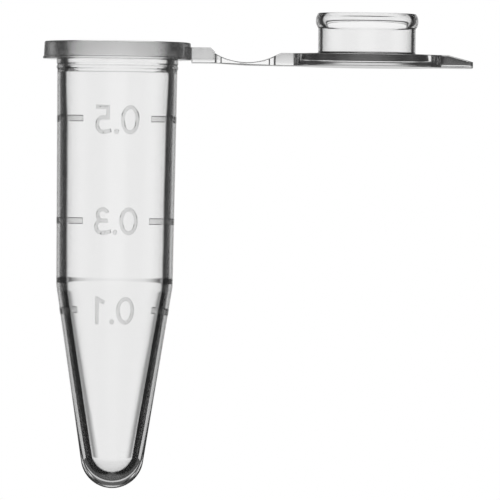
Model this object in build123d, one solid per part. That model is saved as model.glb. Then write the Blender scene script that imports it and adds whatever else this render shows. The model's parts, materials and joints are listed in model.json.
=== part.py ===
from build123d import *
import os
from math import acos, atan2, cos, hypot, pi, radians, sin, sqrt, tan

# A 0.5 mL microcentrifuge tube with its cap attached by a living hinge, standing upright with the cap open.
# Millimetres and degrees. z = 0 is the rim's underside on the tube's axis, +Z is up out of the mouth, the
# open cap lies towards +X, and the numerals face +Y.

# Neck rings. Every other radius of the tube and the cap follows from theirs.
NECK_R = 3.955
NECK_STEP = 0.045  # how far the rings stand out from the barrel
NECK_RING_H = 0.34
NECK_GROOVE_H = 0.09
NECK_LOWER_H = 0.21

# Rim
RIM_H = 1.13
COLLAR_INSET = 0.245  # the collar starts this far outside the neck rings
COLLAR_W = 0.60  # from there to the rim's side, at the underside
RIM_DRAFT = 2.6
RIM_EDGE_R = 0.10

# Barrel, cone and tip
BARREL_L = 14.72  # rim underside to the shoulder where the cone starts
BARREL_DRAFT = 0.47
BARREL_WALL = 0.64
BARREL_FLOOR_UP = 0.32  # the bore starts to narrow this far above the outer shoulder
CONE_L = 13.15  # shoulder to the tip's lowest point
TIP_R = 2.04
TIP_BORE_R = 1.33
TIP_WALL = 0.92  # at the lowest point

# Mouth
SEAT_WALL = 0.50
LEAD_IN = 0.21  # how much wider the mouth is at the rim's top than at the seal
LEAD_IN_ABOVE_SEAL = 0.065  # the lead-in ends this far above the bead's widest line
SEAT_SHORT = 0.165  # the straight seat ends this far above the plug's end, where the bead curves in
SEAT_BLEND_L = 0.50

# Graduations
MARK_RAISE = 0.05
TICK_H = 0.42
GLYPH_H = 1.82
STROKE = 0.28
ZERO_W = 1.38
DOT_D = 0.36
DOT_GAP = 0.13
MARK_0_5_ABOVE_SHOULDER = 10.81
MARK_0_3_ABOVE_SHOULDER = 4.21
MARK_0_1_BELOW_SHOULDER = 1.67
NUMERAL_SIDE = 90.0  # the angle from +X to the side that carries the numerals
TICK_FROM = 41.5  # angles from the numerals' side, to its left and its right
TICK_TO = 106.0
LOW_TICK_FROM = 57.0  # the lowest pair, on the cone, is shorter

# Digit shapes. Widths are shares of the zero's, heights of the digits', places across a digit of its own width,
# gaps before a digit of the gap round the point, and lifts of half a stroke.
FIVE_W = 0.86
FIVE_BOWL_R = 0.31
FIVE_STEM_X = 0.2
FIVE_TOP_END = 0.95
FIVE_DOT_GAP = 1.7
THREE_W = 0.9
THREE_MIDDLE_Z = 0.515
THREE_UPPER_END = 0.91
THREE_BAR_X = 0.18
THREE_UPPER_SWEEP = 250.0
ONE_W = 0.56
ONE_FLAG_LOW = 0.78
ONE_FLAG_HIGH = 0.92
ONE_DOT_GAP = 2.4
FOOT_MIDDLE_LIFT = 1.2
FOOT_END_LIFT = 1.8

# Cap
PLATE_INSET = 0.03  # closed, the plate's edge lies this far inside the rim's top edge
PLATE_T = 0.81
PLATE_DRAFT = 6.5
TAB_HALF_W = 2.0
TAB_REACH = 2.17  # beyond the plate's edge
TAB_SLOPE_FROM = 0.55  # beyond the plate's edge
TAB_END_DROP = 0.43
TAB_FILLET_R = 1.5
TAB_CORNER_R = 0.7
TAB_TIP_R = 0.12

# Plug
PLUG_WALL = 0.27
PLUG_H = 2.665
PLUG_END_R = 0.08
BEAD_RAISE = 0.17
BEAD_H = 0.98
PLUG_BASE = 0.12

# Strap
BLOCK_HALF_W = 1.70
WEB_HALF_W = 1.18
WEB_END_FILLET_R = 0.65
RIM_FILLET_R = 0.65
PLATE_FILLET_R = 0.50
WEB_T = 0.19  # at its thinnest
WEB_LOW_REACH = 3.605  # from the rim's side to the web's lowest point
WEB_ARC_RIM_R = 4.20
WEB_ARC_CAP_R = 2.90
FOLD_MID_REACH = 3.224  # from the rim's side to midway between the two fold lines
FOLD_SPAN = 1.649  # between the fold lines
HALF_TURN = 180.0
ROOT_TOP_DROP = 0.31  # below the rim's top
ROOT_BOTTOM_DROP = 0.07  # below the rim's underside
ROOT_CHAMFER = 0.25
CAP_BLOCK_CHAMFER = 0.10

# Clearances
SEAT_GAP = 0.02  # closed, between the cap's plate and the rim
SEAL_CLEARANCE = 0.07  # closed, between the bead and the seat
OVERCUT = 2.0  # cutters run past what they cut

# Derived: tube
collar_r = NECK_R + COLLAR_INSET
rim_base_r = collar_r + COLLAR_W
rim_top_r = rim_base_r - RIM_H * tan(radians(RIM_DRAFT))
barrel_top_r = NECK_R - NECK_STEP
barrel_bottom_r = barrel_top_r - BARREL_L * tan(radians(BARREL_DRAFT))
tube_l = BARREL_L + CONE_L
tip_z = TIP_R - tube_l
tip_bore_z = TIP_BORE_R + TIP_WALL - tube_l
seat_r = barrel_top_r - SEAT_WALL
bead_r = seat_r - SEAL_CLEARANCE
plug_r = bead_r - BEAD_RAISE
plate_face_r = rim_top_r - PLATE_INSET
closed_face_z = RIM_H + SEAT_GAP
seat_top_z = closed_face_z - PLUG_H + BEAD_H / 2 + LEAD_IN_ABOVE_SEAL
seat_bottom_z = closed_face_z - PLUG_H + SEAT_SHORT
bore_top_z = seat_bottom_z - SEAT_BLEND_L
bore_bottom_z = BARREL_FLOOR_UP - BARREL_L


def rim_r(z):
    """The rim's outer radius at a height."""
    return rim_base_r - z * tan(radians(RIM_DRAFT))


def tangent_angle(r, z, ball_r, ball_z):
    """The angle from level, seen from a ball's centre on the axis, at which a line from (r, z) touches it."""
    lift = z - ball_z
    return atan2(lift, r) - acos(ball_r / hypot(r, lift))


def ball_point(ball_r, ball_z, angle):
    """The (r, z) point of a ball's outline at an angle from level."""
    return ball_r * cos(angle), ball_z + ball_r * sin(angle)


cone_angle = tangent_angle(barrel_bottom_r, -BARREL_L, TIP_R, tip_z)
cone_end = ball_point(TIP_R, tip_z, cone_angle)


def barrel_r(z):
    """The barrel's outer radius at a height."""
    return barrel_top_r + z * tan(radians(BARREL_DRAFT))


def wall_r(z):
    """The outer radius at a height, on the barrel or the cone."""
    return min(barrel_r(z), barrel_bottom_r + (z + BARREL_L) * tan(-cone_angle))


# Derived: strap. The inner face is two arcs that meet level at the lowest point, and both fold lines lie on it.
# Heights are first taken from that lowest point.
web_low_x = rim_base_r + WEB_LOW_REACH
rim_fold_x = rim_base_r + FOLD_MID_REACH - FOLD_SPAN / 2
cap_fold_x = rim_fold_x + FOLD_SPAN


def web_rise(x):
    """How far the web's inner face has climbed from its lowest point."""
    arc_r = WEB_ARC_RIM_R if x < web_low_x else WEB_ARC_CAP_R
    return arc_r - sqrt(arc_r**2 - (x - web_low_x) ** 2)


def climb_x(rise, arc_r):
    """How far from the lowest point an arc of the inner face has climbed this much."""
    return sqrt(arc_r**2 - (arc_r - rise) ** 2)


# Closed, each fold line has turned a quarter, so the web stands upright on the first. The cap turns half a turn in
# all about the middle of the line between the second fold line's two places. So the open plug stands where that half
# turn brings it onto the tube's axis, with the plate resting on the rim.
closed_fold_x = rim_fold_x - (web_rise(cap_fold_x) - web_rise(rim_fold_x))
closed_fold_rise = web_rise(rim_fold_x) + FOLD_SPAN
cap_x = cap_fold_x + closed_fold_x
rise_sum = web_rise(cap_fold_x) + closed_fold_rise
face_z = closed_face_z + 2 * (PLATE_T - WEB_T) - rise_sum
plate_bottom_z = face_z - PLATE_T
web_low_z = plate_bottom_z + WEB_T
root_top_z = RIM_H - ROOT_TOP_DROP
root_end_x = web_low_x - climb_x(root_top_z - ROOT_CHAMFER - web_low_z, WEB_ARC_RIM_R)
cap_block_x = web_low_x + climb_x(face_z - CAP_BLOCK_CHAMFER - web_low_z, WEB_ARC_CAP_R)


def plate_r(z):
    """The cap plate's radius at a height, open."""
    return plate_face_r + (face_z - z) * tan(radians(PLATE_DRAFT))


# General shapes


def upright_face(*outline):
    """A face standing on the X axis, from the edges of its closed outline seen from the side."""
    return make_face(Curve() + [Plane.XZ * edge for edge in outline])


def turned(*outline):
    """A solid turned about the tube's axis from the edges of a closed (radius, height) outline."""
    return revolve(upright_face(*outline), Axis.Z)


def turned_points(*points):
    """A solid turned about the tube's axis from a closed outline of (radius, height) points."""
    return turned(Polyline(*points, close=True))


def ball_arc(ball_r, ball_z, angle):
    """The edge round a ball's outline from an angle to its lowest point."""
    start = ball_point(ball_r, ball_z, angle)
    middle = ball_point(ball_r, ball_z, (angle - pi / 2) / 2)
    return ThreePointArc(start, middle, (0, ball_z - ball_r))


def side_slab(*outline, half_w):
    """A slab as wide as the strap's or tab's blank, from the edges of its outline seen from the side."""
    return extrude(upright_face(*outline), half_w, both=True)


def upright(plan):
    """A blank of any height the cap and strap need, from an outline seen from above."""
    return extrude(plan, rim_base_r, both=True)


def joined_strip(disc_r, half_w, fillet_r, length):
    """From above, a strip leaving a disc at the origin towards +X, with a concave fillet each side."""
    centre_y = half_w + fillet_r
    centre_x = sqrt((disc_r + fillet_r) ** 2 - centre_y**2)
    strip = Pos(length / 2, 0) * Rectangle(length, 2 * half_w)
    for side in (1, -1):
        gusset = make_face(Polyline((0, 0), (centre_x, side * centre_y), (centre_x, 0), close=True))
        strip += gusset - Pos(centre_x, side * centre_y) * Circle(fillet_r)
    return strip


# Tube


def cavity():
    """Everything inside the tube: lead-in, seat, bore, cone and round bottom."""
    top = (0, RIM_H + OVERCUT)
    mouth_r = seat_r + LEAD_IN
    bore_top = (barrel_r(bore_top_z) - BARREL_WALL, bore_top_z)
    bore_bottom = (barrel_r(bore_bottom_z) - BARREL_WALL, bore_bottom_z)
    touch = tangent_angle(*bore_bottom, TIP_BORE_R, tip_bore_z)
    wall = Polyline(
        top,
        (mouth_r, RIM_H + OVERCUT),
        (mouth_r, RIM_H),
        (seat_r, seat_top_z),
        (seat_r, seat_bottom_z),
        bore_top,
        bore_bottom,
        ball_point(TIP_BORE_R, tip_bore_z, touch),
    )
    bottom = ball_arc(TIP_BORE_R, tip_bore_z, touch)
    return turned(wall, bottom, Line((0, tip_bore_z - TIP_BORE_R), top))


def barrel_blank():
    """The barrel without its bore, up to the rim's top."""
    return turned_points(
        (0, RIM_H),
        (collar_r, RIM_H),
        (collar_r, 0),
        (barrel_top_r, 0),
        (barrel_bottom_r, -BARREL_L),
        (0, -BARREL_L),
    )


def cone_blank():
    """The cone without its bore."""
    end_r, end_z = cone_end
    return turned_points((0, -BARREL_L), (barrel_bottom_r, -BARREL_L), (end_r, end_z), (0, end_z))


def tip_blank():
    """The round end without its bore."""
    end_r, end_z = cone_end
    outside = ball_arc(TIP_R, tip_z, cone_angle)
    return turned(Polyline((0, end_z), (end_r, end_z)), outside, Line((0, -tube_l), (0, end_z)))


def rim_flange():
    """The collar round the mouth, with its top outer edge rounded."""
    disc = turned_points((0, 0), (rim_base_r, 0), (rim_top_r, RIM_H), (0, RIM_H))
    rounded = fillet(disc.edges().group_by(Axis.Z)[-1], RIM_EDGE_R)
    return rounded - Cylinder(collar_r, 2 * (RIM_H + OVERCUT))


def neck_ring(top_z, height):
    """One raised ring on the neck, below a height."""
    bottom_z = top_z - height
    return turned_points(
        (barrel_r(top_z), top_z), (NECK_R, top_z), (NECK_R, bottom_z), (barrel_r(bottom_z), bottom_z)
    )


# Graduations, raised from the tube's outside. The numerals read correctly from +Y.


def raised_skin(z, height, arc):
    """A thin skin on the tube's outside, centred on a height, turned through an arc from +X."""
    top = z + height / 2
    bottom = z - height / 2
    section = Polyline(
        (wall_r(top), top),
        (wall_r(top) + MARK_RAISE, top),
        (wall_r(bottom) + MARK_RAISE, bottom),
        (wall_r(bottom), bottom),
        close=True,
    )
    return revolve(upright_face(section), Axis.Z, revolution_arc=arc)


def arc_stroke(centre, radius, start, sweep):
    """A curved stroke of a digit."""
    return trace(CenterArc(centre, radius, start, sweep), STROKE)


def bar(start, end):
    """A straight stroke of a digit."""
    return trace(Line(start, end), STROKE)


def foot(bowl_x):
    """The stroke that runs from under a bowl to the lower left of a 3 or a 5, lifting a little."""
    half = STROKE / 2
    middle = (bowl_x / 2, half * FOOT_MIDDLE_LIFT)
    return trace(ThreePointArc((bowl_x, half), middle, (0, half * FOOT_END_LIFT)), STROKE)


def zero():
    """The digit 0 and its width."""
    ring = Ellipse(ZERO_W / 2, GLYPH_H / 2) - Ellipse(ZERO_W / 2 - STROKE, GLYPH_H / 2 - STROKE)
    return Pos(ZERO_W / 2, GLYPH_H / 2) * ring, ZERO_W


def five():
    """The digit 5, its width and its gap from the point."""
    width = ZERO_W * FIVE_W
    half = STROKE / 2
    bowl_r = GLYPH_H * FIVE_BOWL_R - half
    bowl_x = width - bowl_r - half
    bowl_z = bowl_r + half
    shoulder_z = bowl_z + bowl_r
    stem_x = width * FIVE_STEM_X
    top_z = GLYPH_H - half
    glyph = arc_stroke((bowl_x, bowl_z), bowl_r, -90, HALF_TURN)
    glyph += bar((stem_x - half, shoulder_z), (bowl_x, shoulder_z))
    glyph += bar((stem_x, shoulder_z - half), (stem_x, GLYPH_H))
    glyph += bar((stem_x - half, top_z), (width * FIVE_TOP_END, top_z))
    glyph += foot(bowl_x)
    return glyph, width, DOT_GAP * FIVE_DOT_GAP


def three():
    """The digit 3, its width and its gap from the point."""
    width = ZERO_W * THREE_W
    half = STROKE / 2
    middle_z = GLYPH_H * THREE_MIDDLE_Z
    upper_r = (GLYPH_H - half - middle_z) / 2
    lower_r = (middle_z - half) / 2
    upper_x = width * THREE_UPPER_END - upper_r - half
    lower_x = width - lower_r - half
    glyph = arc_stroke((upper_x, middle_z + upper_r), upper_r, -90, THREE_UPPER_SWEEP)
    glyph += arc_stroke((lower_x, half + lower_r), lower_r, -90, HALF_TURN)
    glyph += bar((width * THREE_BAR_X, middle_z), (lower_x, middle_z))
    glyph += foot(lower_x)
    return glyph, width, DOT_GAP


def one():
    """The digit 1, its width and its gap from the point."""
    width = ZERO_W * ONE_W
    half = STROKE / 2
    stem_x = width - half
    glyph = bar((stem_x, 0), (stem_x, GLYPH_H))
    glyph += bar((half / 2, GLYPH_H * ONE_FLAG_LOW), (stem_x, GLYPH_H * ONE_FLAG_HIGH))
    return glyph, width, DOT_GAP * ONE_DOT_GAP


def numeral(z, digit):
    """One volume's number, 0 point digit, raised from the tube's outside."""
    zero_glyph, zero_w = zero()
    digit_glyph, digit_w, digit_gap = digit
    dot_x = zero_w + DOT_GAP + DOT_D / 2
    digit_x = dot_x + DOT_D / 2 + digit_gap
    number = zero_glyph + Pos(dot_x, DOT_D / 2) * Circle(DOT_D / 2) + Pos(digit_x, 0) * digit_glyph
    facing_out = Plane(origin=(0, 0, z), x_dir=(-1, 0, 0), z_dir=(0, 1, 0))
    centred = facing_out * Pos(-(digit_x + digit_w) / 2, -GLYPH_H / 2) * number
    return extrude(centred, NECK_R + OVERCUT) & raised_skin(z, GLYPH_H, HALF_TURN)


# Strap


def web_plan():
    """The web from above: narrow in the middle, spreading to the blocks' width at each end."""
    middle_x = (root_end_x + cap_block_x) / 2
    length = cap_block_x - root_end_x
    plan = Pos(middle_x, 0) * Rectangle(length, 2 * WEB_HALF_W)
    spread = BLOCK_HALF_W - WEB_HALF_W
    for end_x, inward in ((root_end_x, 1), (cap_block_x, -1)):
        for side in (1, -1):
            corner = Pos(end_x + inward * WEB_END_FILLET_R / 2, side * (WEB_HALF_W + spread / 2))
            centre = (end_x + inward * WEB_END_FILLET_R, side * (WEB_HALF_W + WEB_END_FILLET_R))
            plan += corner * Rectangle(WEB_END_FILLET_R, spread) - Pos(*centre) * Circle(WEB_END_FILLET_R)
    return plan


def strap_plan():
    """The whole strap from above, running on under the rim and the cap's plate."""
    root = joined_strip(rim_base_r, BLOCK_HALF_W, RIM_FILLET_R, root_end_x)
    cap_strip = joined_strip(plate_r(plate_bottom_z), BLOCK_HALF_W, PLATE_FILLET_R, cap_x - cap_block_x)
    return root + web_plan() + Pos(cap_x, 0) * Rot(Z=HALF_TURN) * cap_strip


def strap_section():
    """The edges of the strap's outline seen from the side, from the rim's axis to the cap's."""
    root_bottom_z = -ROOT_BOTTOM_DROP
    web_rim_mid_x = (root_end_x + web_low_x) / 2
    web_cap_mid_x = (cap_block_x + web_low_x) / 2
    low = (web_low_x, web_low_z)
    root_corner = (root_end_x, root_top_z - ROOT_CHAMFER)
    cap_corner = (cap_block_x, face_z - CAP_BLOCK_CHAMFER)
    root_arc = ThreePointArc(root_corner, (web_rim_mid_x, web_low_z + web_rise(web_rim_mid_x)), low)
    cap_arc = ThreePointArc(low, (web_cap_mid_x, web_low_z + web_rise(web_cap_mid_x)), cap_corner)
    rest = Polyline(
        cap_corner,
        (cap_block_x + CAP_BLOCK_CHAMFER, face_z),
        (cap_x, face_z),
        (cap_x, plate_bottom_z),
        (web_low_x, plate_bottom_z),
        (root_end_x, root_bottom_z),
        (0, root_bottom_z),
        (0, root_top_z),
        (root_end_x - ROOT_CHAMFER, root_top_z),
        root_corner,
    )
    return root_arc, cap_arc, rest


def rim_keepout():
    """The rim's outer side, carried on above and below it."""
    low_z = -OVERCUT
    high_z = RIM_H + OVERCUT
    return turned_points((0, low_z), (rim_r(low_z), low_z), (rim_r(high_z), high_z), (0, high_z))


def plate_keepout():
    """The cap plate's side, carried on above and below it."""
    low_z = plate_bottom_z - OVERCUT
    high_z = face_z + OVERCUT
    outline = ((0, low_z), (plate_r(low_z), low_z), (plate_r(high_z), high_z), (0, high_z))
    return Pos(cap_x, 0, 0) * turned_points(*outline)


def strap_pieces():
    """The strap cut at its fold lines: the root block, the web between them, and the cap's block."""
    blank = side_slab(*strap_section(), half_w=rim_base_r) & upright(strap_plan())
    strap = blank - rim_keepout() - plate_keepout()
    cuts = [0, rim_fold_x, cap_fold_x, cap_x]
    pieces = []
    for start, end in zip(cuts, cuts[1:]):
        slab = Pos((start + end) / 2, 0, 0) * Box(end - start, 2 * rim_base_r, 2 * rim_base_r)
        pieces.append(strap & slab)
    return pieces


# Cap, open, with its plug pointing up


def cap_plate():
    """The round lid."""
    bottom_r = plate_r(plate_bottom_z)
    outline = ((0, plate_bottom_z), (bottom_r, plate_bottom_z), (plate_face_r, face_z), (0, face_z))
    return Pos(cap_x, 0, 0) * turned_points(*outline)


def cap_tab():
    """The thumb tab, thinner towards its end, with a concave fillet each side where it leaves the plate."""
    end_x = plate_face_r + TAB_REACH
    slope_x = plate_face_r + TAB_SLOPE_FROM
    section = Polyline(
        (0, plate_bottom_z),
        (end_x, plate_bottom_z),
        (end_x, face_z - TAB_END_DROP),
        (slope_x, face_z),
        (0, face_z),
        close=True,
    )
    plan = joined_strip(plate_r(plate_bottom_z), TAB_HALF_W, TAB_FILLET_R, end_x)
    plan = fillet(plan.vertices().group_by(Axis.X)[-1], TAB_CORNER_R)
    slab = side_slab(section, half_w=rim_base_r)
    slab = fillet(slab.edges().filter_by(Axis.Y).group_by(Axis.X)[-1], TAB_TIP_R)
    return Pos(cap_x, 0, 0) * (slab & upright(plan)) - plate_keepout()


def cap_plug():
    """The hollow skirt that enters the mouth, with its inner end edge rounded."""
    bore_r = plug_r - PLUG_WALL
    end_z = face_z + PLUG_H
    outline = ((bore_r, face_z), (plug_r, face_z), (plug_r, end_z), (bore_r, end_z))
    skirt = turned_points(*outline)
    inner_end = skirt.edges().group_by(Axis.Z)[-1].sort_by(SortBy.RADIUS)[0]
    return Pos(cap_x, 0, 0) * fillet(inner_end, PLUG_END_R)


def plug_bead():
    """The sealing bead round the plug's end."""
    top = (plug_r, face_z + PLUG_H)
    middle = (bead_r, face_z + PLUG_H - BEAD_H / 2)
    bottom = (plug_r, face_z + PLUG_H - BEAD_H)
    return Pos(cap_x, 0, 0) * turned(ThreePointArc(top, middle, bottom), Line(bottom, top))


def plug_base():
    """The small sloped ring where the plug leaves the plate."""
    ring = turned_points((plug_r, face_z), (plug_r + PLUG_BASE, face_z), (plug_r, face_z + PLUG_BASE))
    return Pos(cap_x, 0, 0) * ring


# Each volume's height, digit and the angle its marks start from
marks = {
    "0_5": (MARK_0_5_ABOVE_SHOULDER - BARREL_L, five(), TICK_FROM),
    "0_3": (MARK_0_3_ABOVE_SHOULDER - BARREL_L, three(), TICK_FROM),
    "0_1": (-MARK_0_1_BELOW_SHOULDER - BARREL_L, one(), LOW_TICK_FROM),
}
hollow = cavity()
hinge_root, hinge_web, hinge_cap_block = strap_pieces()
neck_lower_z = -NECK_RING_H - NECK_GROOVE_H
nodes = {
    "tube_barrel": barrel_blank() - hollow,
    "tube_cone": cone_blank() - hollow,
    "tube_tip": tip_blank() - hollow,
    "rim_flange": rim_flange(),
    "neck_ring_upper": neck_ring(0, NECK_RING_H),
    "neck_ring_lower": neck_ring(neck_lower_z, NECK_LOWER_H),
    "hinge_root": hinge_root,
    "hinge_web": hinge_web,
    "hinge_cap_block": hinge_cap_block,
    "cap_plate": cap_plate(),
    "cap_tab": cap_tab(),
    "cap_plug": cap_plug(),
    "plug_bead": plug_bead(),
    "plug_base": plug_base(),
}
for volume, (z, glyph, start) in marks.items():
    mark = raised_skin(z, TICK_H, TICK_TO - start)
    nodes[f"numeral_{volume}"] = numeral(z, glyph)
    nodes[f"tick_{volume}_left"] = Rot(Z=NUMERAL_SIDE - TICK_TO) * mark
    nodes[f"tick_{volume}_right"] = Rot(Z=NUMERAL_SIDE + start) * mark

os.makedirs("parts", exist_ok=True)
for name, shape in nodes.items():
    export_step(shape, f"parts/{name}.step")
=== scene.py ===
import json
import math

import bmesh
import bpy
from mathutils import Matrix, Vector


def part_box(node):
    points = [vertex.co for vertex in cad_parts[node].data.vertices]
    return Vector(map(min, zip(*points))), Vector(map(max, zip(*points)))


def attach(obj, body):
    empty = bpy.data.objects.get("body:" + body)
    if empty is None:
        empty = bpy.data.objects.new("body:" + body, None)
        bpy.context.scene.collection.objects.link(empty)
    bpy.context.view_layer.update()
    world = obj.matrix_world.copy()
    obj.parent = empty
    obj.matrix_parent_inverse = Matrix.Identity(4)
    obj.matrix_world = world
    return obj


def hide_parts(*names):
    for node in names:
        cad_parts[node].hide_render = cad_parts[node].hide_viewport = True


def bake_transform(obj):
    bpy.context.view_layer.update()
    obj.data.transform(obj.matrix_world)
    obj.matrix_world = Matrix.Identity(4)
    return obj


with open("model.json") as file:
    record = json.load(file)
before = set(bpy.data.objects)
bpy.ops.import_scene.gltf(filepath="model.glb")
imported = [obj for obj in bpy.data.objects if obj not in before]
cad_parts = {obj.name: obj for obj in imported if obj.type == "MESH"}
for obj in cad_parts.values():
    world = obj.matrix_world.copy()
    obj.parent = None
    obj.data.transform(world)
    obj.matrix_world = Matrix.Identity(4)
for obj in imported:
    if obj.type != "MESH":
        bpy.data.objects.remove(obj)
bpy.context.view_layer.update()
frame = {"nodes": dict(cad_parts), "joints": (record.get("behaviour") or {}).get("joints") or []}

# ---------------------------------------------------------------- sizes, in millimetres
MM = 0.001
boxes = {name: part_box(name) for name in frame["nodes"]}


def low(node, axis):
    return boxes[node][0][axis] / MM


def high(node, axis):
    return boxes[node][1][axis] / MM


X, Y, Z = 0, 1, 2
rim_h = high("rim_flange", Z)
rim_r = high("rim_flange", Y)
neck_r = high("neck_ring_upper", Y)
upper_ring_z = low("neck_ring_upper", Z)
lower_ring_top_z = high("neck_ring_lower", Z)
lower_ring_z = low("neck_ring_lower", Z)
shoulder_z = low("tube_barrel", Z)
shoulder_r = high("tube_cone", Y)
tip_top_z = high("tube_tip", Z)
tip_r = high("tube_tip", Y)
tip_z = low("tube_tip", Z)

cap_x = (low("plug_bead", X) + high("plug_bead", X)) / 2
face_z = high("cap_plate", Z)
plate_z = low("cap_plate", Z)
plate_r = high("cap_plate", Y)
plug_r = high("cap_plug", Y)
plug_top_z = high("cap_plug", Z)
bead_r = high("plug_bead", Y)
bead_z = low("plug_bead", Z)
base_ring = high("plug_base", Y) - plug_r
tab_end = high("cap_tab", X) - cap_x

joints = {j["name"]: j for j in frame["joints"]}
rim_fold = [v / MM for v in joints["rim_fold"]["pos_m"]]
cap_fold = [v / MM for v in joints["cap_fold"]["pos_m"]]
root_top_z = high("hinge_root", Z)
root_bottom_z = low("hinge_root", Z)
web_z = low("hinge_web", Z)

# Outlines of the tube and the cap
RIM_TOP_IN = 0.051
RIM_EDGE_R = 0.10
RING_SLOPE = 0.03
RING_EDGE_R = 0.06
SHOULDER_BEND_R = 1.5
LIP = 0.05
LIP_H = 0.12
LIP_EDGE_R = 0.05
LIP_TOP_R = 0.03
LIP_SLOPE_H = 0.05
LIP_BACK = 0.005
BARREL_TOP_R = 3.91
TIP_BALL_R = 2.04
MOUTH_R = 3.314
MOUTH_EDGE_R = 0.09
MOUTH_BEND_R = 0.3
THROAT = (3.25, -0.40)
SEAT_R = 3.36
SEAT_TOP_Z = -0.85
SEAT_LOW_Z = -1.20
SEAT_LOW_BEND_R = 2.0
BORE_TOP = (3.25, -4.20)
BORE_TOP_BEND_R = 6.0
BORE_LOW = (3.1538, -14.16)
BORE_BEND = (3.109, -14.90)
BORE_LOW_BEND_R = 3.0
WELL_BALL_R = 1.33
WELL_BALL_Z = -25.62
PLATE_DRAFT_IN = 0.092
PLATE_EDGE_R = 0.06
PLUG_BORE_R = 2.90
PLUG_EDGE_R = 0.08
PLUG_END_R = 0.05
PLUG_FOOT_R = 0.10
PLUG_FLOOR_R = 0.15

# Strap. Its blocks start inside the rim and the plate.
ROOT_START_X = 4.05
PLATE_START_R = 4.15
STRAP_EDGE_R = 0.07
BLOCK_HALF_W = 1.70
WEB_HALF_W = 1.18
WEB_FILLET_R = 0.6
WEB_FLARE_L = math.sqrt(WEB_FILLET_R**2 - (WEB_FILLET_R - BLOCK_HALF_W + WEB_HALF_W) ** 2)
RIM_FILLET_R = 0.65
PLATE_FILLET_R = 0.50
WEB_LOW_X = 8.405
WEB_T = 0.19
WEB_ARC_RIM_R = 4.20
WEB_ARC_CAP_R = 4.00
ROOT_END_X = 6.33
ROOT_CHAMFER = 0.28
CAP_BLOCK_X = 10.275
CAP_CHAMFER = 0.16
CAP_CHAMFER_L = 0.35
BLOCK_DRAFT = 0.09
INSIDE_RIM_Z = 0.03  # the strap's lower side, where it is inside the rim
FLARE_STEPS = (0.006, 0.015, 0.03)  # extra stations where the web meets a block
BEND_HALF = 0.75
BEND_MARGIN = 0.05

# Tab
TAB_HALF_W = 2.0
TAB_SLOPE_X = 5.269
TAB_DROP = 0.43
TAB_FILLET_R = 1.5
TAB_CORNER_R = 0.7
TAB_DRAFT = 0.114
TAB_END_STEPS = (0.04, 0.02, 0.01, 0.003)  # extra stations before the tab's end

# Marks
MARK_GAP = 0.004
MARK_RAISE = 0.05
MARK_SIDE_RAISE = 0.012
MARK_FADE_DEG = 26
TICK_INSET = 0.05
NUMERAL_INSET = 0.08
MARK_MERGE = 0.002
MARK_EDGE_L = 0.16
MARK_CUT_PASSES = 5
SAME_WAY = 0.99  # two side faces this parallel count as one
LEAST_SHARE = 0.4  # keeps a sharp corner of a mark from moving too far in
TINY = 1e-6

# Fineness
TURN_STEPS = 256
BALL_STEPS = 40
WELL_STEPS = 36
REACH_SHARE = 0.49  # a corner's arc takes less than half of a side, so that two never meet
WIDTH_SHARE = 0.95
ON_PLANE = 1e-7  # metres
SMOOTH_DEG = 32
MARK_SMOOTH_DEG = 25

scene = bpy.context.scene


# ---------------------------------------------------------------- outlines
def rounded(corners, steps=7):
    """A path through corners given as (r, z, radius), with an arc at each corner that has a radius."""
    path = []
    for i, (r, z, radius) in enumerate(corners):
        here = Vector((r, z))
        if not radius or i in (0, len(corners) - 1):
            path.append(here)
            continue
        before = Vector(corners[i - 1][:2]) - here
        after = Vector(corners[i + 1][:2]) - here
        half = before.angle(after) / 2
        reach = min(radius / math.tan(half), before.length * REACH_SHARE, after.length * REACH_SHARE)
        arc_r = reach * math.tan(half)
        start = here + before.normalized() * reach
        end = here + after.normalized() * reach
        centre = here + (before.normalized() + after.normalized()).normalized() * (arc_r / math.sin(half))
        a, b = start - centre, end - centre
        turn = a.angle_signed(b)
        for k in range(steps + 1):
            path.append(centre + Matrix.Rotation(-turn * k / steps, 2) @ a)
    return path


def arc(centre_z, radius, start, end, steps):
    """Points on a circle centred on the axis, between two angles from +r towards +z."""
    return [
        Vector((radius * math.cos(a), centre_z + radius * math.sin(a)))
        for a in (start + (end - start) * k / steps for k in range(steps + 1))
    ]


def tangent_angle(point, centre_z, radius):
    """The angle on a ball where the straight line from a point above touches it."""
    away = Vector((point[0], point[1] - centre_z))
    return math.atan2(away.y, away.x) - math.acos(radius / away.length)


# ---------------------------------------------------------------- mesh makers
def new_object(name, verts, faces):
    mesh = bpy.data.meshes.new(name)
    mesh.from_pydata([Vector(v) * MM for v in verts], [], faces)
    mesh.validate()
    obj = bpy.data.objects.new(name, mesh)
    scene.collection.objects.link(obj)
    return obj


def turned(name, path, axis_x=0.0):
    """A closed body turned about a vertical axis. The path starts and ends on the axis."""
    inner = path[1:-1]
    n = TURN_STEPS
    verts = [(axis_x, 0, path[0].y)]
    for p in inner:
        for k in range(n):
            a = 2 * math.pi * k / n
            verts.append((axis_x + p.x * math.cos(a), p.x * math.sin(a), p.y))
    verts.append((axis_x, 0, path[-1].y))
    last = len(verts) - 1
    faces = []
    for k in range(n):
        k2 = (k + 1) % n
        faces.append((0, 1 + k2, 1 + k))
        for i in range(len(inner) - 1):
            a, b = 1 + i * n, 1 + (i + 1) * n
            faces.append((a + k, a + k2, b + k2, b + k))
        top = 1 + (len(inner) - 1) * n
        faces.append((top + k, top + k2, last))
    obj = new_object(name, verts, faces)
    fix_normals(obj)
    return obj


def fix_normals(obj):
    bm = bmesh.new()
    bm.from_mesh(obj.data)
    bmesh.ops.recalc_face_normals(bm, faces=bm.faces)
    bm.to_mesh(obj.data)
    bm.free()


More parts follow.
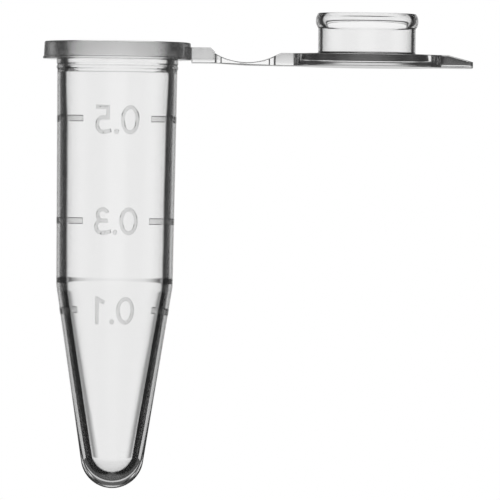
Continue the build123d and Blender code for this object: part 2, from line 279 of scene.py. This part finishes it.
def section(half_w, z_low, z_high, corner_r, draft=0.0, steps=5, across=8):
    """A closed ring of points round a rounded rectangle in y and z, narrower towards its top."""
    r = min(corner_r, half_w * WIDTH_SHARE, (z_high - z_low) * REACH_SHARE)
    ring = []
    corners = ((1, 1, 0), (-1, 1, 90), (-1, -1, 180), (1, -1, 270))
    for n, (sy, sz, start) in enumerate(corners):
        cy = sy * (half_w - r)
        cz = (z_high - r) if sz > 0 else (z_low + r)
        for k in range(steps + 1):
            a = math.radians(start + 90 * k / steps)
            ring.append((cy + r * math.cos(a), cz + r * math.sin(a)))
        if n in (0, 2):
            y0, z0 = ring[-1]
            for k in range(1, across):
                ring.append((y0 - sy * 2 * (half_w - r) * k / across, z0))
    return [(y * (1 - draft * (z - z_low) / half_w), z) for y, z in ring]


def lofted(name, stations, corner_r, open_ends=(False, False)):
    """A strip along x through stations given as (x, half width, lowest z, highest z, draft)."""
    verts, faces = [], []
    rings = [section(w, lo, hi, corner_r, draft) for _, w, lo, hi, draft in stations]
    n = len(rings[0])
    for (x, *_), ring in zip(stations, rings):
        verts += [(x, y, z) for y, z in ring]
    for i in range(len(stations) - 1):
        for k in range(n):
            k2 = (k + 1) % n
            faces.append((i * n + k, i * n + k2, (i + 1) * n + k2, (i + 1) * n + k))
    if not open_ends[0]:
        faces.append(tuple(range(n)))
    if not open_ends[1]:
        faces.append(tuple(reversed(range(len(verts) - n, len(verts)))))
    obj = new_object(name, verts, faces)
    fix_normals(obj)
    return obj


def join(obj, others):
    """One surface round several bodies that run into each other."""
    for other in others:
        cut = obj.modifiers.new("join", "BOOLEAN")
        cut.operation = "UNION"
        cut.solver = "EXACT"
        cut.object = other
        mesh = bpy.data.meshes.new_from_object(obj.evaluated_get(bpy.context.evaluated_depsgraph_get()))
        obj.modifiers.clear()
        old = obj.data
        obj.data = mesh
        bpy.data.meshes.remove(old)
        bpy.data.objects.remove(other)
    obj.data.name = obj.name
    return obj


def open_end(obj, x):
    """Takes away the flat end in a plane across x, so that the next piece carries the plastic on."""
    bm = bmesh.new()
    bm.from_mesh(obj.data)
    flat = [f for f in bm.faces if all(abs(v.co.x - x * MM) < ON_PLANE for v in f.verts)]
    bmesh.ops.delete(bm, geom=flat, context="FACES_ONLY")
    bm.to_mesh(obj.data)
    bm.free()


def smooth(obj, angle=SMOOTH_DEG):
    """Shades smoothly across gentle edges, with the larger faces keeping their own direction."""
    mesh = obj.data
    mesh.shade_smooth()
    mesh.set_sharp_from_angle(angle=math.radians(angle))
    bm = bmesh.new()
    bm.from_mesh(mesh)
    area = {f: f.calc_area() for f in bm.faces}
    starts = [p.loop_start for p in mesh.polygons]
    normals = [Vector((0, 0, 1))] * len(mesh.loops)
    for v in bm.verts:
        left = set(v.link_faces)
        while left:
            group, front = [], [left.pop()]
            while front:
                face = front.pop()
                group.append(face)
                for e in face.edges:
                    if e.smooth and v in e.verts:
                        for near in e.link_faces:
                            if near in left:
                                left.remove(near)
                                front.append(near)
            normal = sum((f.normal * area[f] for f in group), Vector()).normalized()
            for face in group:
                for k, corner in enumerate(face.loops):
                    if corner.vert == v:
                        normals[starts[face.index] + k] = normal
    bm.free()
    mesh.normals_split_custom_set(normals)
    return obj


# ---------------------------------------------------------------- tube
def barrel_r(z):
    share = z / shoulder_z
    return BARREL_TOP_R + (shoulder_r - BARREL_TOP_R) * share


def wall_r(z):
    if z >= shoulder_z:
        return barrel_r(z)
    return shoulder_r + (tip_r - shoulder_r) * (z - shoulder_z) / (tip_top_z - shoulder_z)


def tube_path():
    ball_z = tip_z + TIP_BALL_R
    touch = tangent_angle((shoulder_r, shoulder_z), ball_z, TIP_BALL_R)
    well_touch = tangent_angle(BORE_BEND, WELL_BALL_Z, WELL_BALL_R)
    side = [
        (shoulder_r, shoulder_z, SHOULDER_BEND_R),
        (barrel_r(lower_ring_z), lower_ring_z - RING_SLOPE, RING_EDGE_R),
        (neck_r, lower_ring_z + RING_SLOPE, RING_EDGE_R),
        (neck_r, lower_ring_top_z - RING_SLOPE, RING_EDGE_R),
        (barrel_r(lower_ring_top_z), lower_ring_top_z + RING_SLOPE, RING_EDGE_R),
        (barrel_r(upper_ring_z), upper_ring_z - RING_SLOPE, RING_EDGE_R),
        (neck_r, upper_ring_z + RING_SLOPE, RING_EDGE_R),
        (neck_r, 0, LIP_EDGE_R),
        (rim_r + LIP, 0, LIP_EDGE_R),
        (rim_r + LIP, LIP_H, LIP_TOP_R),
        (rim_r - LIP_BACK, LIP_H + LIP_SLOPE_H, LIP_EDGE_R),
        (rim_r - RIM_TOP_IN, rim_h, RIM_EDGE_R),
        (MOUTH_R, rim_h, MOUTH_EDGE_R),
        (*THROAT, MOUTH_BEND_R),
        (SEAT_R, SEAT_TOP_Z, MOUTH_BEND_R),
        (SEAT_R, SEAT_LOW_Z, SEAT_LOW_BEND_R),
        (*BORE_TOP, BORE_TOP_BEND_R),
        (*BORE_LOW, BORE_LOW_BEND_R),
        (*BORE_BEND, BORE_LOW_BEND_R),
    ]
    outer = arc(ball_z, TIP_BALL_R, -math.pi / 2, touch, BALL_STEPS)
    inner = arc(WELL_BALL_Z, WELL_BALL_R, well_touch, -math.pi / 2, WELL_STEPS)
    body = rounded([(*outer[-1], 0), *side, (*inner[0], 0)])
    return outer[:-1] + body + inner[1:]


def web_top(x):
    """The strap's upper side."""
    low_z = web_z + WEB_T
    if x < WEB_LOW_X:
        z = low_z + WEB_ARC_RIM_R - math.sqrt(WEB_ARC_RIM_R**2 - (min(WEB_LOW_X - x, WEB_ARC_RIM_R)) ** 2)
        chamfer_z = root_top_z - max(0.0, x - (ROOT_END_X - ROOT_CHAMFER))
        return min(root_top_z, chamfer_z) if x <= ROOT_END_X else z
    z = low_z + WEB_ARC_CAP_R - math.sqrt(WEB_ARC_CAP_R**2 - (min(x - WEB_LOW_X, WEB_ARC_CAP_R)) ** 2)
    if x < CAP_BLOCK_X:
        return z
    return min(face_z, face_z - CAP_CHAMFER * (1 - (x - CAP_BLOCK_X) / CAP_CHAMFER_L))


def web_bottom(x):
    """The strap's lower side. It starts inside the rim, just above the rim's underside."""
    if x < rim_r:
        return INSIDE_RIM_Z
    if x < ROOT_END_X:
        return root_bottom_z
    if x < WEB_LOW_X:
        return root_bottom_z + (web_z - root_bottom_z) * (x - ROOT_END_X) / (WEB_LOW_X - ROOT_END_X)
    return web_z


def strip_half_w(x, circle_r, half_w, fillet_r):
    """A strip's half width at a distance from a round body's axis, with a concave fillet against it."""
    centre_x = math.sqrt((circle_r + fillet_r) ** 2 - (half_w + fillet_r) ** 2)
    touch_x = centre_x * circle_r / (circle_r + fillet_r)
    at = max(x, touch_x)
    if at >= centre_x:
        return half_w
    return half_w + fillet_r - math.sqrt(max(0.0, fillet_r**2 - (centre_x - at) ** 2))


def web_half_w(x):
    """The strap's half width along its whole length."""
    if x <= ROOT_END_X:
        return strip_half_w(x, rim_r, BLOCK_HALF_W, RIM_FILLET_R)
    if x >= CAP_BLOCK_X:
        return strip_half_w(cap_x - x, plate_r, BLOCK_HALF_W, PLATE_FILLET_R)
    near = min(x - ROOT_END_X, CAP_BLOCK_X - x)
    if near >= WEB_FLARE_L:
        return WEB_HALF_W
    return WEB_HALF_W + WEB_FILLET_R - math.sqrt(WEB_FILLET_R**2 - (WEB_FLARE_L - near) ** 2)


def web_draft(x):
    """How fast the strap's sides lean in, at their full lean on the blocks and upright on the web."""
    on_web = min(x - ROOT_END_X, CAP_BLOCK_X - x)
    return BLOCK_DRAFT * (1 - min(1.0, max(0.0, on_web / WEB_FLARE_L)))


def strap_stations(start, end, step=0.05):
    stops = {round(start, 4), round(end, 4)}
    count = max(2, int((end - start) / step))
    stops |= {round(start + (end - start) * k / count, 4) for k in range(count + 1)}
    edges = [ROOT_END_X - ROOT_CHAMFER, ROOT_END_X, CAP_BLOCK_X, CAP_BLOCK_X + CAP_CHAMFER_L]
    edges += [ROOT_END_X + d for d in FLARE_STEPS] + [CAP_BLOCK_X - d for d in FLARE_STEPS]
    for x in edges:
        if start < x < end:
            stops.add(round(x, 4))
    return [(x, web_half_w(x), web_bottom(x), web_top(x), web_draft(x)) for x in sorted(stops)]


rim_cut = rim_fold[0] - BEND_HALF - BEND_MARGIN
cap_cut = cap_fold[0] + BEND_HALF + BEND_MARGIN
middle_cut = (rim_fold[0] + cap_fold[0]) / 2

tube = turned("tube_body", tube_path())
join(tube, [lofted("root_block", strap_stations(ROOT_START_X, rim_cut), STRAP_EDGE_R)])
open_end(tube, rim_cut)
strap_rim = lofted("strap_rim_side", strap_stations(rim_cut, middle_cut), STRAP_EDGE_R, (True, True))
strap_cap = lofted("strap_cap_side", strap_stations(middle_cut, cap_cut), STRAP_EDGE_R, (True, True))


# ---------------------------------------------------------------- cap
def bead_path(steps=14):
    """The bead's round outline, from the plug's end down."""
    half = (plug_top_z - bead_z) / 2
    raised = bead_r - plug_r
    arc_r = (half**2 + raised**2) / (2 * raised)
    middle_z = (plug_top_z + bead_z) / 2
    span = math.asin(half / arc_r)
    return [
        (bead_r - arc_r + arc_r * math.cos(a), middle_z + arc_r * math.sin(a), 0)
        for a in (span - 2 * span * k / steps for k in range(1, steps + 1))
    ]


def cap_path():
    corners = [
        (0, plate_z, 0),
        (plate_r, plate_z, PLATE_EDGE_R),
        (plate_r - PLATE_DRAFT_IN, face_z, PLATE_EDGE_R),
        (plug_r + base_ring, face_z, PLUG_FOOT_R),
        (plug_r, face_z + base_ring, PLUG_FOOT_R),
        *reversed(bead_path()),
        (plug_r, plug_top_z, PLUG_END_R),
        (PLUG_BORE_R, plug_top_z, PLUG_EDGE_R),
        (PLUG_BORE_R, face_z, PLUG_FLOOR_R),
        (0, face_z, 0),
    ]
    return rounded(corners)


def tab_stations(step=0.06):
    start = PLATE_START_R
    count = int((tab_end - start) / step)
    xs = [start + (tab_end - start) * k / count for k in range(count)]
    tip = [tab_end - d for d in TAB_END_STEPS]
    stations = []
    for x in sorted({round(v, 4) for v in xs + tip + [TAB_SLOPE_X]}):
        w = strip_half_w(x, plate_r, TAB_HALF_W, TAB_FILLET_R)
        past = x - (tab_end - TAB_CORNER_R)
        if past > 0:
            w = min(w, TAB_HALF_W - TAB_CORNER_R + math.sqrt(max(0.0, TAB_CORNER_R**2 - past**2)))
        slope = max(0.0, x - TAB_SLOPE_X) / (tab_end - TAB_SLOPE_X)
        top = face_z - TAB_DROP * slope
        stations.append((cap_x + x, w, plate_z, top, TAB_DRAFT))
    return stations


cap = turned("cap_body", cap_path(), cap_x)
block_stations = strap_stations(cap_cut, cap_x - PLATE_START_R)
join(cap, [lofted("cap_block", block_stations, STRAP_EDGE_R), lofted("tab", tab_stations(), STRAP_EDGE_R)])
open_end(cap, cap_cut)


# ---------------------------------------------------------------- marks
def mark_lift(point):
    """How far a mark stands off the wall: less towards the tube's two sides."""
    off_side = abs(math.degrees(math.atan2(point.y, abs(point.x))))
    share = min(1.0, off_side / MARK_FADE_DEG)
    share = share * share * (3 - 2 * share)
    return MARK_SIDE_RAISE + (MARK_RAISE - MARK_SIDE_RAISE) * share


def inset_moves(outer, inset):
    """How far each outer point of a mark moves in, so that the mark's sides lean."""
    moves = {}
    for v in outer:
        sides = [f for f in v.link_faces if any(w not in outer for w in f.verts)]
        if not sides:
            continue
        radial = Vector((v.co.x, v.co.y, 0)).normalized()
        push = Vector((0, 0, 0))
        seen = []
        for f in sides:
            n = (f.normal - radial * f.normal.dot(radial)).normalized()
            if all(n.dot(m) < SAME_WAY for m in seen):
                seen.append(n)
                push += n
        if push.length > TINY:
            unit = push.normalized()
            reach = inset * MM / max(LEAST_SHARE, unit.dot(seen[0]))
            moves[v] = -unit * reach
    return moves


def cut_long_edges(bm, outer):
    """Divides a mark's top and bottom finely enough to follow the wall's curve."""
    side_faces = {
        f for f in bm.faces
        if any(v in outer for v in f.verts) and any(v not in outer for v in f.verts)
    }
    for _ in range(MARK_CUT_PASSES):
        long_edges = [
            e for e in bm.edges
            if e.calc_length() > MARK_EDGE_L * MM and not any(f in side_faces for f in e.link_faces)
        ]
        if not long_edges:
            break
        bmesh.ops.subdivide_edges(bm, edges=long_edges, cuts=1)
        bmesh.ops.triangulate(bm, faces=[f for f in bm.faces if len(f.verts) > 4])


def embossed(node, inset):
    """A raised mark made from its CAD solid: its sides lean in, and it follows the wall's curve."""
    obj = bpy.data.objects.new("embossed_" + node, frame["nodes"][node].data.copy())
    scene.collection.objects.link(obj)
    bm = bmesh.new()
    bm.from_mesh(obj.data)
    bmesh.ops.remove_doubles(bm, verts=bm.verts, dist=MARK_MERGE * MM)
    bm.normal_update()

    def height(v):
        z = v.co.z / MM
        return math.hypot(v.co.x, v.co.y) / MM - wall_r(z)

    outer = {v for v in bm.verts if height(v) > MARK_RAISE / 2}
    for v, move in inset_moves(outer, inset).items():
        v.co += move
    cut_long_edges(bm, outer)
    for v in bm.verts:
        z = v.co.z / MM
        r = math.hypot(v.co.x, v.co.y)
        lift = mark_lift(v.co) if height(v) > MARK_RAISE / 2 else MARK_GAP
        scale = (wall_r(z) + lift) * MM / r
        v.co.x *= scale
        v.co.y *= scale
    bm.to_mesh(obj.data)
    bm.free()
    obj.data.materials.clear()
    if obj.data.has_custom_normals:
        obj.data.attributes.remove(obj.data.attributes["custom_normal"])
    return obj


marks = [n for n in frame["nodes"] if n.startswith(("numeral", "tick"))]
insets = {n: TICK_INSET if n.startswith("tick") else NUMERAL_INSET for n in marks}
embossed_marks = {n: embossed(n, insets[n]) for n in sorted(marks)}


# ---------------------------------------------------------------- materials
MICRON = 1e-6
IOR = 1.49
SPECKLE_SCALE = 2600
SPECKLE_DETAIL = 4
FLOW_DETAIL = 2
FLOW_STRETCH = (1, 1, 0.35)
CLEAR = (0.99, 0.99, 0.99)
FROSTED = (0.90, 0.90, 0.90)

# The rim's outer side is slightly matt: above this height, outside this distance in from its edge
MATT_LOW_Z = 0.02
MATT_IN = 0.12
MATT_ROUGHNESS = 0.22

# Sockets of a Mix node that mixes colours
MIX_FACTOR, MIX_A, MIX_B, MIX_RESULT = 0, 6, 7, 2


def material(name):
    m = bpy.data.materials.new(name)
    m.use_nodes = True
    return m, m.node_tree.nodes, m.node_tree.links


def math_node(nodes, links, operation, *values, clamp=False):
    node = nodes.new("ShaderNodeMath")
    node.operation = operation
    node.use_clamp = clamp
    for k, value in enumerate(values):
        if isinstance(value, (int, float)):
            node.inputs[k].default_value = value
        else:
            links.new(value, node.inputs[k])
    return node.outputs[0]


def matt_roughness(nodes, links, point, roughness, lowest_z, least_r, extra):
    """More roughness above a height and outside a radius about the tube's axis."""
    parts = nodes.new("ShaderNodeSeparateXYZ")
    links.new(point, parts.inputs[0])
    x, y, z = (parts.outputs[axis] for axis in "XYZ")
    square = math_node(nodes, links, "MULTIPLY", x, x)
    square = math_node(nodes, links, "MULTIPLY_ADD", y, y, square)
    outside = math_node(nodes, links, "GREATER_THAN", square, (least_r * MM) ** 2)
    above = math_node(nodes, links, "GREATER_THAN", z, lowest_z * MM)
    at_side = math_node(nodes, links, "MULTIPLY", outside, above)
    added = math_node(nodes, links, "MULTIPLY", at_side, extra)
    return math_node(nodes, links, "ADD", roughness, added)


def plastic(name, colour, roughness, transmission, bump_um, wave_mm, matt_side=None):
    """Moulded plastic, with flow waves in its surface and fine speckle in its polish."""
    m, nodes, links = material(name)
    shader = nodes["Principled BSDF"]
    shader.inputs["Base Color"].default_value = (*colour, 1)
    shader.inputs["IOR"].default_value = IOR
    shader.inputs["Transmission Weight"].default_value = transmission
    place = nodes.new("ShaderNodeTexCoord")
    speckle = nodes.new("ShaderNodeTexNoise")
    speckle.inputs["Scale"].default_value = SPECKLE_SCALE
    speckle.inputs["Detail"].default_value = SPECKLE_DETAIL
    rough = nodes.new("ShaderNodeMapRange")
    rough.inputs["To Min"].default_value, rough.inputs["To Max"].default_value = roughness
    flow = nodes.new("ShaderNodeTexNoise")
    flow.inputs["Scale"].default_value = 1 / (wave_mm * MM)
    flow.inputs["Detail"].default_value = FLOW_DETAIL
    stretch = nodes.new("ShaderNodeMapping")
    stretch.inputs["Scale"].default_value = FLOW_STRETCH
    bump = nodes.new("ShaderNodeBump")
    bump.inputs["Strength"].default_value = 1.0
    bump.inputs["Distance"].default_value = bump_um * MICRON
    links.new(place.outputs["Object"], speckle.inputs["Vector"])
    links.new(place.outputs["Object"], stretch.inputs["Vector"])
    links.new(stretch.outputs["Vector"], flow.inputs["Vector"])
    links.new(speckle.outputs["Fac"], rough.inputs["Value"])
    polish = rough.outputs["Result"]
    if matt_side:
        polish = matt_roughness(nodes, links, place.outputs["Object"], polish, *matt_side)
    links.new(polish, shader.inputs["Roughness"])
    links.new(flow.outputs["Fac"], bump.inputs["Height"])
    links.new(bump.outputs["Normal"], shader.inputs["Normal"])
    return m


smooth_finish = {"roughness": (0.01, 0.05), "transmission": 0.985, "bump_um": 6, "wave_mm": 1.6}
rim_side = (MATT_LOW_Z, rim_r - MATT_IN, MATT_ROUGHNESS)
clear = plastic("clear_polypropylene", CLEAR, **smooth_finish)
rim_plastic = plastic("clear_polypropylene_rim", CLEAR, **smooth_finish, matt_side=rim_side)
frosted = plastic(
    "frosted_polypropylene", FROSTED, roughness=(0.12, 0.22), transmission=0.96, bump_um=3, wave_mm=0.25
)

# ---------------------------------------------------------------- pieces on their bodies
for piece, finish in ((tube, rim_plastic), (cap, clear), (strap_rim, clear), (strap_cap, clear)):
    smooth(piece)
    piece.data.materials.clear()
    piece.data.materials.append(finish)

for node, piece in embossed_marks.items():
    smooth(piece, MARK_SMOOTH_DEG)
    piece.data.materials.append(frosted)
    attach(piece, "root")
    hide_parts(node)

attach(tube, "root")
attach(cap, "cap")
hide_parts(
    "tube_barrel", "tube_cone", "tube_tip", "rim_flange",
    "neck_ring_upper", "neck_ring_lower", "hinge_root",
)
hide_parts("cap_plate", "cap_tab", "cap_plug", "plug_bead", "plug_base", "hinge_cap_block")
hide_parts("hinge_web")
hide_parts("hinge_web")
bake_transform(strap_rim)
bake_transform(strap_cap)

# ---------------------------------------------------------------- studio
FLOOR_DROP = 12
FLOOR_R = 0.28  # metres, as all lengths of the studio
FLOOR_STEP_DEG = 3
floor_z = (tip_z - FLOOR_DROP) * MM
floor_mesh = bpy.data.meshes.new("floor")
floor_edge = []
for degrees in range(0, 360, FLOOR_STEP_DEG):
    a = math.radians(degrees)
    floor_edge.append((FLOOR_R * math.cos(a), FLOOR_R * math.sin(a), 0))
floor_mesh.from_pydata(floor_edge, [], [tuple(range(len(floor_edge)))])
floor = bpy.data.objects.new("floor", floor_mesh)
floor.location = (0, 0, floor_z)
scene.collection.objects.link(floor)


def ramp(nodes, links, value, stops):
    """A smooth curve through (position, brightness) stops."""
    lowest, highest = stops[0][0], stops[-1][0]
    spread = nodes.new("ShaderNodeMapRange")
    spread.inputs["From Min"].default_value = lowest
    spread.inputs["From Max"].default_value = highest
    links.new(value, spread.inputs["Value"])
    node = nodes.new("ShaderNodeValToRGB")
    node.color_ramp.interpolation = "EASE"
    points = node.color_ramp.elements
    while len(points) < len(stops):
        points.new(0.5)
    for point, (at, _) in zip(points, stops):
        point.position = (at - lowest) / (highest - lowest)
    for point, (_, level) in zip(points, stops):
        point.color = (level, level, level, 1)
    links.new(spread.outputs["Result"], node.inputs["Fac"])
    return node.outputs["Color"]


def mix(nodes, links, factor, a, b, kind="MIX"):
    node = nodes.new("ShaderNodeMix")
    node.data_type = "RGBA"
    node.blend_type = kind
    for k, value in ((MIX_FACTOR, factor), (MIX_A, a), (MIX_B, b)):
        if isinstance(value, (int, float, tuple)):
            node.inputs[k].default_value = value
        else:
            links.new(value, node.inputs[k])
    return node.outputs[MIX_RESULT]


def seen_by_plastic(nodes, links, path):
    """1 for rays that went through the plastic or off it, otherwise 0."""
    off, through = path.outputs["Is Glossy Ray"], path.outputs["Is Transmission Ray"]
    return math_node(nodes, links, "MAXIMUM", off, through)


BLACK = (0, 0, 0, 1)
WHITE = (1, 1, 1, 1)
DARK_LEVEL = 0.035
SIDE_GLOW = 0.3
FLOOR_SHARE = (0.12, 0.12, 0.12, 1)
QUARTER_DEG = 90  # the field's side bands repeat each quarter turn

# Brightness of the field, as (angle in degrees, level). Side angles count from the nearest of the four sides.
WINDOW = [(0, 0.65), (12, 0.65), (25, DARK_LEVEL), (180, DARK_LEVEL)]
OTHER_WINDOWS = [(0, SIDE_GLOW), (15, SIDE_GLOW), (29, DARK_LEVEL), (46, DARK_LEVEL)]
WINDOW_HEIGHT = [(-90, 0), (-12, 0.03), (-3, 1), (15, 1), (30, 0.06), (90, 0.06)]
STRAIGHT_SIDE = [(0, 1), (26, 1), (34, 0.3), (38, 0.3), (45, 1)]
STRAIGHT_HEIGHT = [
    (-90, DARK_LEVEL), (-5.4, DARK_LEVEL), (-3.0, 1), (28, 1), (42, 0.12), (52, 0.12), (62, 0.9), (90, 0.9)
]
FLOOR_SIDE = [(0, 1), (10, 1), (27, 0.35), (33, 0.35), (45, 1)]

# The floor's brightness, as (distance from the tube's axis in metres, level). Near the axis it is painted
# shade: the floor that the plastic sees is darker under the tube.
FLOOR_PAINTED_SHADE_NEAR = [(0, 0.75), (0.017, 0.8), (0.035, 0.88), (0.09, 1), (1, 1)]
FLOOR_FAR_PART = [(0, 0), (0.09, 0), (0.15, 1), (1, 1)]


def angle_from_side(nodes, links, azimuth):
    """The angle from the nearest of the front, back, left and right, from 0 to 45 degrees."""
    half = QUARTER_DEG / 2
    side = math_node(nodes, links, "ADD", azimuth, 360 + half)
    side = math_node(nodes, links, "MODULO", side, QUARTER_DEG)
    return math_node(nodes, links, "ABSOLUTE", math_node(nodes, links, "SUBTRACT", side, half))


def studio_field(nodes, links, direction, is_floor):
    """What the plastic sees.

    Light that goes straight through sees a white field with darker bands in it. Light that has been reflected
    sees a dark field, with a soft window behind the tube and weaker ones on the other sides.
    """
    parts = nodes.new("ShaderNodeSeparateXYZ")
    links.new(direction, parts.inputs[0])
    azimuth = math_node(nodes, links, "ARCTAN2", parts.outputs["X"], parts.outputs["Y"])
    azimuth = math_node(nodes, links, "DEGREES", azimuth)
    behind = math_node(nodes, links, "ABSOLUTE", azimuth)
    window = ramp(nodes, links, behind, WINDOW)
    side = angle_from_side(nodes, links, azimuth)
    others = ramp(nodes, links, side, OTHER_WINDOWS)
    reflected = mix(nodes, links, 1.0, window, others, "LIGHTEN")
    path = nodes.new("ShaderNodeLightPath")
    was_reflected = math_node(nodes, links, "GREATER_THAN", path.outputs["Glossy Depth"], 0.5)
    if is_floor:
        across = nodes.new("ShaderNodeVectorMath")
        across.operation = "LENGTH"
        links.new(direction, across.inputs[0])
        # Painted shade: the floor that the plastic sees is darker near the tube's axis, under the tube
        near = ramp(nodes, links, across.outputs["Value"], FLOOR_PAINTED_SHADE_NEAR)
        far_part = ramp(nodes, links, across.outputs["Value"], FLOOR_FAR_PART)
        ahead = ramp(nodes, links, side, FLOOR_SIDE)
        ahead = mix(nodes, links, far_part, WHITE, ahead)
        straight = mix(nodes, links, 1.0, near, ahead, "MULTIPLY")
        reflected = mix(nodes, links, 1.0, reflected, FLOOR_SHARE, "MULTIPLY")
        return mix(nodes, links, was_reflected, straight, reflected)
    elevation = math_node(nodes, links, "ARCSINE", parts.outputs["Z"])
    elevation = math_node(nodes, links, "DEGREES", elevation)
    across_sky = ramp(nodes, links, elevation, STRAIGHT_HEIGHT)
    around = ramp(nodes, links, side, STRAIGHT_SIDE)
    height = ramp(nodes, links, elevation, WINDOW_HEIGHT)
    straight = mix(nodes, links, 1.0, across_sky, around, "MULTIPLY")
    reflected = mix(nodes, links, 1.0, reflected, height, "MULTIPLY")
    return mix(nodes, links, was_reflected, straight, reflected)


# The floor: pale paint that takes the shadow, with a glow that makes it white for the camera. The plastic
# sees the field in place of the paint, with painted shade under the tube.
FLOOR_GLOW = 0.66
FLOOR_GRAIN_SCALE = 900
FLOOR_TONES = (0.43, 0.45)
floor_material, nodes, links = material("pale_floor")
nodes.clear()
out = nodes.new("ShaderNodeOutputMaterial")
paint = nodes.new("ShaderNodeBsdfDiffuse")
grain = nodes.new("ShaderNodeTexNoise")
grain.inputs["Scale"].default_value = FLOOR_GRAIN_SCALE
grain_tone = nodes.new("ShaderNodeMapRange")
grain_tone.inputs["To Min"].default_value, grain_tone.inputs["To Max"].default_value = FLOOR_TONES
place = nodes.new("ShaderNodeTexCoord")
links.new(place.outputs["Object"], grain.inputs["Vector"])
links.new(grain.outputs["Fac"], grain_tone.inputs["Value"])
links.new(grain_tone.outputs["Result"], paint.inputs["Color"])
glow = nodes.new("ShaderNodeEmission")
path = nodes.new("ShaderNodeLightPath")
for_plastic = seen_by_plastic(nodes, links, path)
field = studio_field(nodes, links, place.outputs["Object"], True)
seen = mix(nodes, links, for_plastic, BLACK, field)
seen = mix(nodes, links, path.outputs["Is Camera Ray"], seen, (FLOOR_GLOW, FLOOR_GLOW, FLOOR_GLOW, 1))
links.new(seen, glow.inputs["Color"])
paint_share = nodes.new("ShaderNodeMixShader")
both = nodes.new("ShaderNodeAddShader")
nothing = nodes.new("ShaderNodeBsdfDiffuse")
nothing.inputs["Color"].default_value = BLACK
links.new(for_plastic, paint_share.inputs["Fac"])
links.new(paint.outputs[0], paint_share.inputs[1])
links.new(nothing.outputs[0], paint_share.inputs[2])
links.new(paint_share.outputs[0], both.inputs[0])
links.new(glow.outputs[0], both.inputs[1])
links.new(both.outputs[0], out.inputs["Surface"])
floor_mesh.materials.append(floor_material)

# The world: white for the camera, the field for the plastic, and a plain grey light for everything else
AMBIENT = (0.5, 0.5, 0.5, 1)
world = bpy.data.worlds.new("studio")
scene.world = world
world.use_nodes = True
nodes, links = world.node_tree.nodes, world.node_tree.links
nodes.clear()
direction = nodes.new("ShaderNodeTexCoord")
field = studio_field(nodes, links, direction.outputs["Generated"], False)
path = nodes.new("ShaderNodeLightPath")
seen = mix(nodes, links, seen_by_plastic(nodes, links, path), AMBIENT, field)
seen = mix(nodes, links, path.outputs["Is Camera Ray"], seen, WHITE)
background = nodes.new("ShaderNodeBackground")
links.new(seen, background.inputs["Color"])
out = nodes.new("ShaderNodeOutputWorld")
links.new(background.outputs[0], out.inputs["Surface"])


LAMP_AIM = Vector((0.008, 0, -0.01))


def softbox(name, at, size, power):
    """A soft lamp, which is neither mirrored by the plastic nor seen through it."""
    data = bpy.data.lights.new(name, "AREA")
    data.shape = "RECTANGLE"
    data.size, data.size_y = size
    data.energy = power
    lamp = bpy.data.objects.new(name, data)
    lamp.location = at
    lamp.rotation_euler = (LAMP_AIM - Vector(at)).to_track_quat("-Z", "Y").to_euler()
    lamp.visible_glossy = False
    lamp.visible_transmission = False
    scene.collection.objects.link(lamp)


softbox("key_light", at=(-0.35, -0.3, 0.5), size=(0.5, 0.5), power=2.2)
softbox("fill_light", at=(0.45, -0.35, 0.35), size=(0.6, 0.6), power=1.2)

# ---------------------------------------------------------------- camera
CAMERA_AWAY = 0.6  # metres
CAMERA_AIM = Vector((8.78, 0, -12.27)) * MM
FRAME_W = 32.5
ROLL = math.radians(-0.79)
SENSOR_W = 36
LIGHT_BOUNCES = 14
GLOSSY_BOUNCES = 16
camera_data = bpy.data.cameras.new("camera")
camera_data.sensor_width = SENSOR_W
camera_data.lens = SENSOR_W * CAMERA_AWAY / (FRAME_W * MM)
camera_data.clip_start = 0.01
camera_data.clip_end = 20
camera = bpy.data.objects.new("camera", camera_data)
scene.collection.objects.link(camera)
camera.location = CAMERA_AIM + Vector((0, -CAMERA_AWAY, 0))
camera.rotation_euler = (math.radians(90), ROLL, 0)
scene.camera = camera

scene.view_settings.view_transform = "Standard"
scene.cycles.max_bounces = LIGHT_BOUNCES
scene.cycles.transmission_bounces = LIGHT_BOUNCES
scene.cycles.glossy_bounces = GLOSSY_BOUNCES
